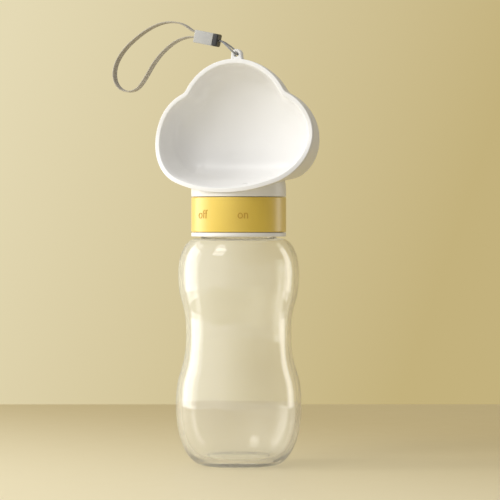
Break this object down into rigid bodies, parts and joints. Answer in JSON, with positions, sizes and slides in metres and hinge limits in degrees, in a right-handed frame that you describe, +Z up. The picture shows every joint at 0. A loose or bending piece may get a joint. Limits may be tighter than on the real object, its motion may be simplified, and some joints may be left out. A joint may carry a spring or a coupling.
{
  "type": "dog travel water bottle",
  "caption": "Clear hourglass travel bottle with a twist-ring valve cap and an upright cloud-shaped drinking bowl, with a wrist strap on an eyelet.",
  "frame": {"origin": "centre of the bottle's base on the table, on the bottle's axis", "axes": "+Z up along the bottle's axis, the bowl opens towards -Y, +X to the right of someone facing the bowl"},
  "size_m": [0.1218, 0.0714, 0.2521],
  "materials": {
    "clear_plastic": "clear, glossy, thick-walled",
    "white_plastic": "smooth moulded, soft gloss",
    "yellow_plastic": "smooth moulded, soft gloss",
    "pom": "machined-smooth, low friction",
    "silicone": "translucent silicone",
    "black_rubber": "moulded rubber",
    "stainless": "plain stainless",
    "charcoal_plastic": "fine matt",
    "grey_plastic": "fine matt",
    "grey_cord": "thin braided cord",
    "grey_webbing": "flat woven webbing"
  },
  "bodies": {
    "bottle": {"bottle": "clear_plastic"},
    "gasket": {"neck_gasket": "silicone"},
    "cap": {"cap_base": "white_plastic", "ring_o_ring": "black_rubber", "inlet_seal": "silicone", "hub_o_ring": "black_rubber", "outlet_seal": "silicone", "bowl_shell": "white_plastic", "hub_screw": "stainless", "screw_washer": "black_rubber", "outlet_gasket": "silicone", "bowl_liner": "white_plastic"},
    "ring": {"twist_ring": "yellow_plastic", "valve_disc": "pom"},
    "strap": {"strap_cord": "grey_cord", "ferrule_plug": "charcoal_plastic", "strap_ferrule": "grey_plastic", "strap_webbing": "grey_webbing"}
  },
  "joints": [
    {"name": "cap_lift", "type": "slide", "parent": "bottle", "child": "gasket", "axis": [0, 0, 1], "range_m": [0, 0.006]},
    {"name": "cap_turn", "type": "hinge", "parent": "gasket", "child": "cap", "pos_m": [0, 0, 0.14], "axis": [0, 0, 1], "range_deg": [0, 540]},
    {"name": "ring_turn", "type": "hinge", "parent": "cap", "child": "ring", "pos_m": [0, 0, 0.142], "axis": [0, 0, 1], "range_deg": [-27, 27]},
    {"name": "strap_swing", "type": "hinge", "parent": "cap", "child": "strap", "pos_m": [0, -0.0024, 0.2326], "axis": [0, 1, 0], "range_deg": [-22, 140]}
  ],
  "couplings": [
    {"joint": "cap_lift", "follows": "cap_turn", "m_per_rad": 0.00063662}
  ]
}
